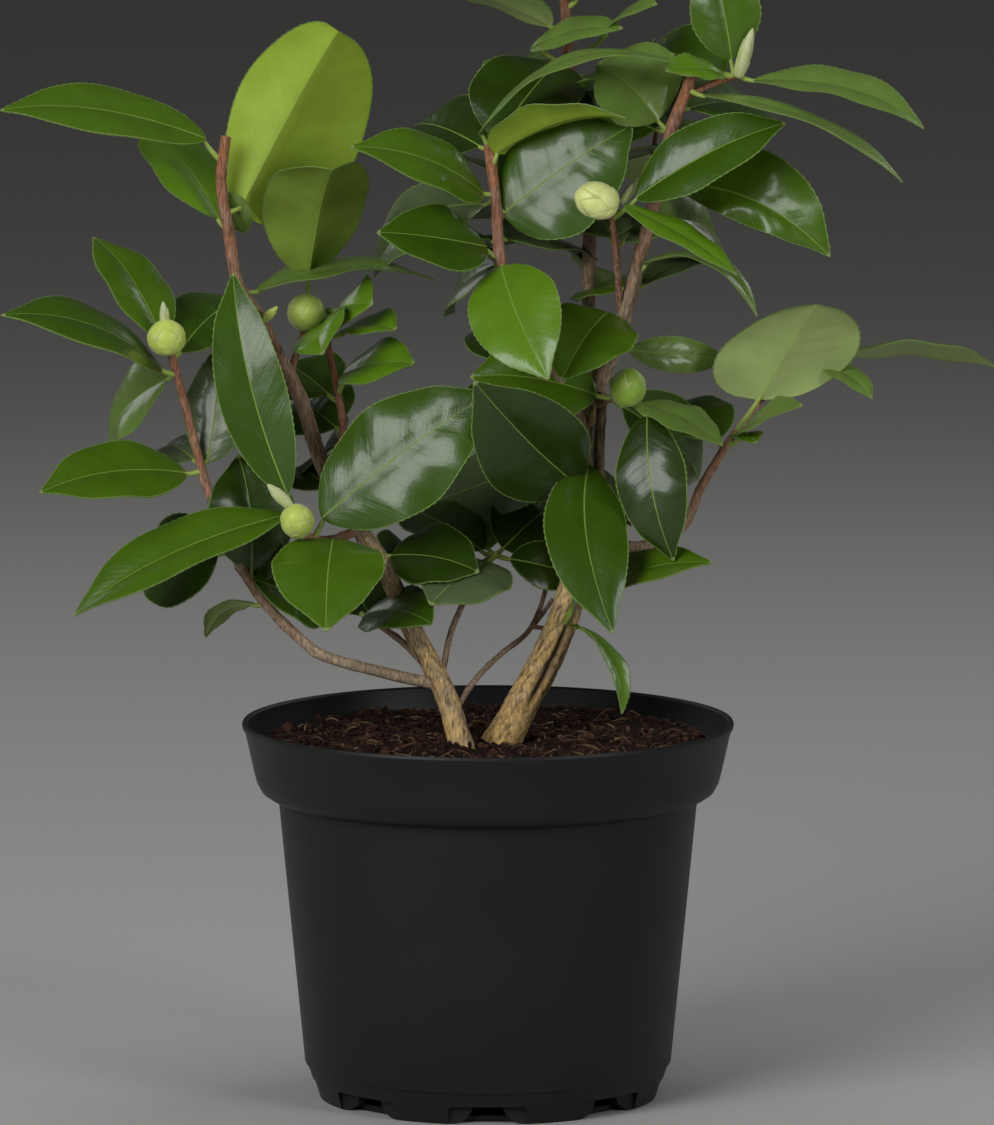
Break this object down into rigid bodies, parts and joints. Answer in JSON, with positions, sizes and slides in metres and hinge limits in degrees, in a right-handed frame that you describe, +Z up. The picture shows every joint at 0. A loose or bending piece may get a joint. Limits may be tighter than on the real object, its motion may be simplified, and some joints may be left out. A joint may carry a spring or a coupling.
{
  "type": "camellia shrub in a nursery pot",
  "caption": "Young evergreen shrub with glossy toothed leaves and round flower buds, on forked woody stems, in a tapered round nursery pot.",
  "frame": {"origin": "centre of the pot's flat underside", "axes": "+Z up through the plant, -Y the front, +X to the right seen from the front"},
  "size_m": [0.3845, 0.2335, 0.4627],
  "materials": {
    "pot": "black moulded polypropylene, satin",
    "peat": "loose damp peat with fibres",
    "bark": "thin pale tan bark, finely fissured",
    "young_bark": "smooth red-brown young bark",
    "leaf": "leathery leaf, dark glossy green above and paler below"
  },
  "bodies": {
    "root": {"pot": "pot", "soil": "peat", "trunk_right": "bark", "trunk_left": "bark", "bough_left_low": "bark", "bough_left": "bark", "bough_centre": "bark", "bough_grey": "bark", "bough_right": "bark", "bough_right_low": "bark", "twig_left_bud": "young_bark", "twig_red": "young_bark", "twig_front_bud": "young_bark", "twig_low_left": "young_bark", "twig_low_middle": "young_bark", "twig_grey_low": "young_bark", "twig_centre_bud": "young_bark", "twig_right_bud": "young_bark", "twig_top": "young_bark", "mass_left_top": "leaf", "mass_left_crest": "leaf", "mass_left_arch": "leaf", "mass_left_bud_leaf": "leaf", "mass_left_tip": "leaf", "mass_left_side": "leaf", "mass_left_inner": "leaf", "mass_left_low": "leaf", "mass_front_left": "leaf", "mass_front_right": "leaf", "mass_low_left": "leaf", "mass_fork_left": "leaf", "mass_low_middle": "leaf", "mass_red_twig": "leaf", "mass_middle": "leaf", "mass_trunk_front": "leaf", "mass_trunk_side": "leaf", "mass_bud_front": "leaf", "mass_bud_back": "leaf", "mass_centre_front": "leaf", "mass_centre_foot": "leaf", "mass_centre_low": "leaf", "mass_centre_high": "leaf", "mass_centre_top": "leaf", "mass_centre_arch": "leaf", "mass_right_foot": "leaf", "mass_right_side": "leaf", "mass_bud_top": "leaf", "mass_right_back": "leaf", "mass_right_inner": "leaf", "mass_right_top": "leaf", "mass_top": "leaf", "mass_crown_fold": "leaf", "mass_crown_top": "leaf", "mass_right_end": "leaf", "mass_right_far": "leaf", "mass_spray_upper": "leaf", "mass_spray_middle": "leaf", "mass_spray_left": "leaf", "mass_spray_right": "leaf"}
  },
  "joints": []
}
